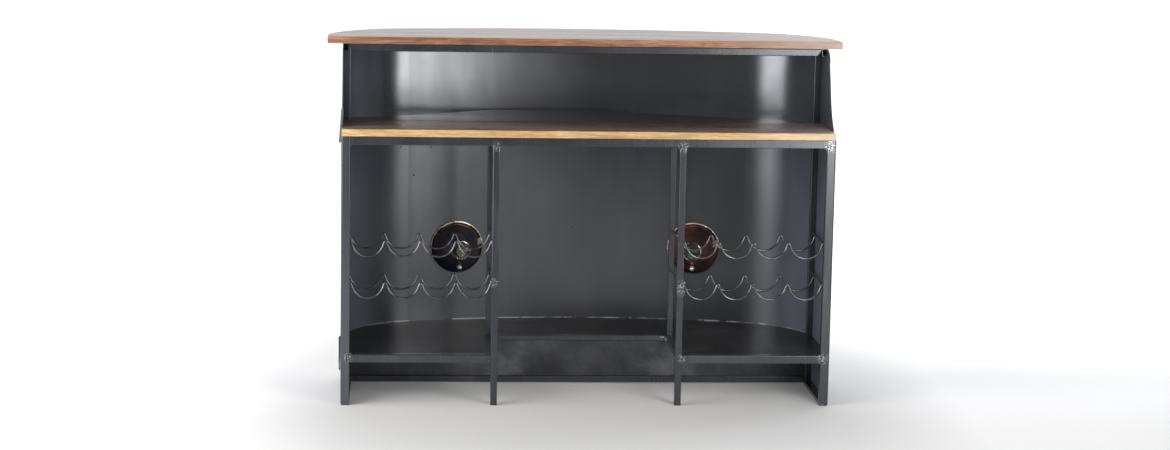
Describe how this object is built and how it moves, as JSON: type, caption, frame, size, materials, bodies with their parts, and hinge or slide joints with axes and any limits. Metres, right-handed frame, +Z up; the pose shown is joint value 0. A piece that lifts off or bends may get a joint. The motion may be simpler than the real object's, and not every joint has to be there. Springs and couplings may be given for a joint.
{
  "type": "bar counter",
  "caption": "Bar counter seen from the staff side: wooden top and ledge on a dark steel frame with wire bottle racks, bowed front, lamps and bumper.",
  "frame": {"origin": "on the floor, in the middle of the counter's bounding box", "axes": "+X along the counter to the right as the staff see it, +Y from the staff side to the customer side, +Z up"},
  "size_m": [1.578, 0.61, 1.095],
  "materials": {
    "frame_steel": "satin",
    "sheet_steel": "satin",
    "rack_wire": "satin",
    "lamp_chrome": "polished",
    "lamp_glass": "polished",
    "lamp_bowl": "gloss",
    "lamp_holder": "satin",
    "bulb_glass": "polished",
    "pilot_metal": "satin",
    "bumper_steel": "satin",
    "bolt_steel": "satin",
    "top_wood": "satin",
    "ledge_wood": "satin"
  },
  "bodies": {
    "root": {"bow_shelf_sheet": "sheet_steel", "bow_skin": "sheet_steel", "bumper_blade": "bumper_steel", "bumper_bolts": "bolt_steel", "bumper_brackets": "frame_steel", "end_shelf_rails": "frame_steel", "lamp_bulbs": "bulb_glass", "ledge_chord_rail": "frame_steel", "ledge_cross_rails": "frame_steel", "ledge_front_plank": "ledge_wood", "ledge_middle_plank": "ledge_wood", "ledge_rail": "frame_steel", "ledge_rear_plank": "ledge_wood", "left_corner_post": "frame_steel", "left_end_post": "frame_steel", "left_end_sheet": "sheet_steel", "left_foot_rail": "frame_steel", "left_lamp_cap": "lamp_holder", "left_lamp_lens": "lamp_glass", "left_lamp_reflector": "lamp_bowl", "left_lamp_rim": "lamp_chrome", "left_partition_post": "frame_steel", "left_partition_rear_post": "frame_steel", "left_partition_shelf_rail": "frame_steel", "left_rack_lower_front_wire": "rack_wire", "left_rack_lower_rear_wire": "rack_wire", "left_rack_upper_front_wire": "rack_wire", "left_rack_upper_rear_wire": "rack_wire", "left_shelf_rail": "frame_steel", "left_shelf_sheet": "sheet_steel", "left_wing_sheet": "sheet_steel", "pilot_bulbs": "pilot_metal", "rack_rods": "rack_wire", "right_corner_post": "frame_steel", "right_end_post": "frame_steel", "right_end_sheet": "sheet_steel", "right_foot_rail": "frame_steel", "right_lamp_cap": "lamp_holder", "right_lamp_lens": "lamp_glass", "right_lamp_reflector": "lamp_bowl", "right_lamp_rim": "lamp_chrome", "right_partition_post": "frame_steel", "right_partition_rear_post": "frame_steel", "right_partition_shelf_rail": "frame_steel", "right_rack_lower_front_wire": "rack_wire", "right_rack_lower_rear_wire": "rack_wire", "right_rack_upper_front_wire": "rack_wire", "right_rack_upper_rear_wire": "rack_wire", "right_shelf_rail": "frame_steel", "right_shelf_sheet": "sheet_steel", "right_wing_sheet": "sheet_steel", "shelf_chord_rail": "frame_steel", "skirt_foot_rail": "frame_steel", "skirt_sheet": "sheet_steel", "top_bow_bar": "frame_steel", "top_front_plank": "top_wood", "top_middle_plank": "top_wood", "top_rail": "frame_steel", "top_staff_plank": "top_wood", "wing_rails": "frame_steel"}
  },
  "joints": []
}
